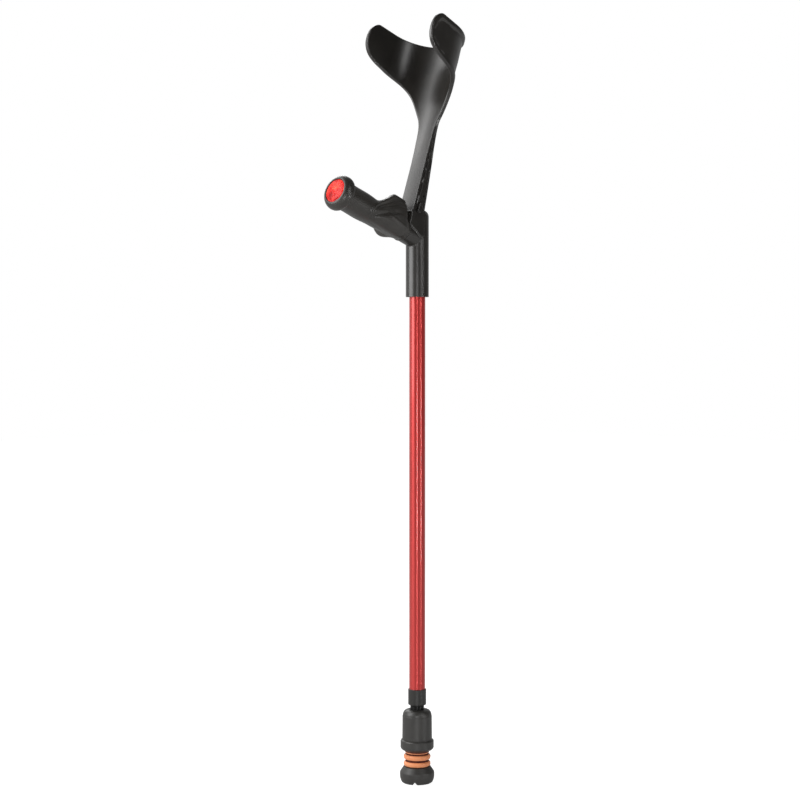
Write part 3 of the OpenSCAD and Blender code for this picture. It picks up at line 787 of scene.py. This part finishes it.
def sky(scene, away, right):
    """White to look at; as light, bright behind and to the left of the camera's view and dim to its right."""
    world = bpy.data.worlds.new("studio_world")
    scene.world = world
    world.use_nodes = True
    tree = world.node_tree
    where = tree.nodes.new("ShaderNodeTexCoord")
    shown = tree.nodes["Background"]
    shown.inputs["Color"].default_value = (1, 1, 1, 1)
    lit = tree.nodes.new("ShaderNodeBackground")
    total = None
    for direction, low, high, bright in ((-right - 0.2 * away, -0.1, 1.0, 0.55), (-away, 0.0, 1.0, 0.5)):
        dot = tree.nodes.new("ShaderNodeVectorMath")
        dot.operation = "DOT_PRODUCT"
        dot.inputs[1].default_value = direction.normalized()
        tree.links.new(where.outputs["Generated"], dot.inputs[0])
        span = tree.nodes.new("ShaderNodeMapRange")
        span.interpolation_type = "SMOOTHSTEP"
        span.inputs["From Min"].default_value = low
        span.inputs["From Max"].default_value = high
        span.inputs["To Max"].default_value = bright
        tree.links.new(dot.outputs["Value"], span.inputs["Value"])
        if total is None:
            total = span.outputs["Result"]
        else:
            add = tree.nodes.new("ShaderNodeMath")
            tree.links.new(total, add.inputs[0])
            tree.links.new(span.outputs["Result"], add.inputs[1])
            total = add.outputs["Value"]
    base = tree.nodes.new("ShaderNodeMath")
    base.inputs[1].default_value = 0.04
    tree.links.new(total, base.inputs[0])
    tree.links.new(base.outputs["Value"], lit.inputs["Strength"])
    path = tree.nodes.new("ShaderNodeLightPath")
    mix = tree.nodes.new("ShaderNodeMixShader")
    tree.links.new(path.outputs["Is Camera Ray"], mix.inputs["Fac"])
    tree.links.new(lit.outputs["Background"], mix.inputs[1])
    tree.links.new(shown.outputs["Background"], mix.inputs[2])
    tree.links.new(mix.outputs["Shader"], tree.nodes["World Output"].inputs["Surface"])


VIEW_TURN = 43.75  # degrees from +X to the camera, as the photo shows the object
CAMERA_AWAY, CAMERA_RIGHT, CAMERA_UP = 2.3261, -0.0283, 0.5946
CAMERA_TILT, CAMERA_HEADING = 88.325, 133.6345
CAMERA_LENS = 76.449
FLOOR_DROP = 0.0005


def studio():
    """Camera, floor and lights. The camera's values come from a least-squares fit to the photo's framing."""
    scene = bpy.context.scene
    turn = math.radians(VIEW_TURN)
    away = Vector((math.cos(turn), math.sin(turn), 0))
    right = Vector((-math.sin(turn), math.cos(turn), 0))

    data = bpy.data.cameras.new("photo_camera")
    data.lens = CAMERA_LENS
    data.sensor_width = 36
    data.clip_end = 50
    camera = bpy.data.objects.new("photo_camera", data)
    scene.collection.objects.link(camera)
    camera.location = CAMERA_AWAY * away + CAMERA_RIGHT * right + Vector((0, 0, CAMERA_UP))
    camera.rotation_euler = (math.radians(CAMERA_TILT), 0, math.radians(CAMERA_HEADING))
    scene.camera = camera

    scene.view_settings.view_transform = "Standard"
    sky(scene, away, right)

    def place(side, toward, up):
        """A point in metres to the camera's right, towards it, and up."""
        return right * side + away * toward + Vector((0, 0, up))

    area_light("key", place(-1.87, 0.78, 1.45), (0, 0, 1.0), (1.7, 2.0), 48)
    area_light("strip_front", place(-0.1, 2.6, 0.28), (0, 0, 0.4), (0.14, 0.5), 12)
    area_light("strip_low", place(1.9, 1.25, 0.28), (0, 0, 0.4), (0.12, 0.5), 7)
    area_light("strip_right", place(1.45, 1.6, 1.6), (0, 0, 0.9), (0.5, 1.5), 11)
    area_light("rear", place(-0.7, -1.5, 1.7), (0, 0, 0.3), (1.2, 1.0), 16)
    area_light("top", place(-1.1, -0.1, 2.0), (0, 0, 0.8), (1.0, 0.8), 4)

    bpy.ops.mesh.primitive_plane_add(size=16, location=(0, 0, -FLOOR_DROP))
    floor = bpy.context.object
    floor.name = "studio_floor"
    pale = plain("studio_floor", (0.25, 0.25, 0.25), 0.9)
    shader = pale.node_tree.nodes["Principled BSDF"]
    shader.inputs["Emission Color"].default_value = (1, 1, 1, 1)
    # near white to look at in every view, and dimmer as a light on the object
    path = pale.node_tree.nodes.new("ShaderNodeLightPath")
    glow = pale.node_tree.nodes.new("ShaderNodeMapRange")
    glow.inputs["To Min"].default_value = 0.35
    glow.inputs["To Max"].default_value = 0.95
    pale.node_tree.links.new(path.outputs["Is Camera Ray"], glow.inputs["Value"])
    pale.node_tree.links.new(glow.outputs["Result"], shader.inputs["Emission Strength"])
    floor.data.materials.append(pale)


studio()
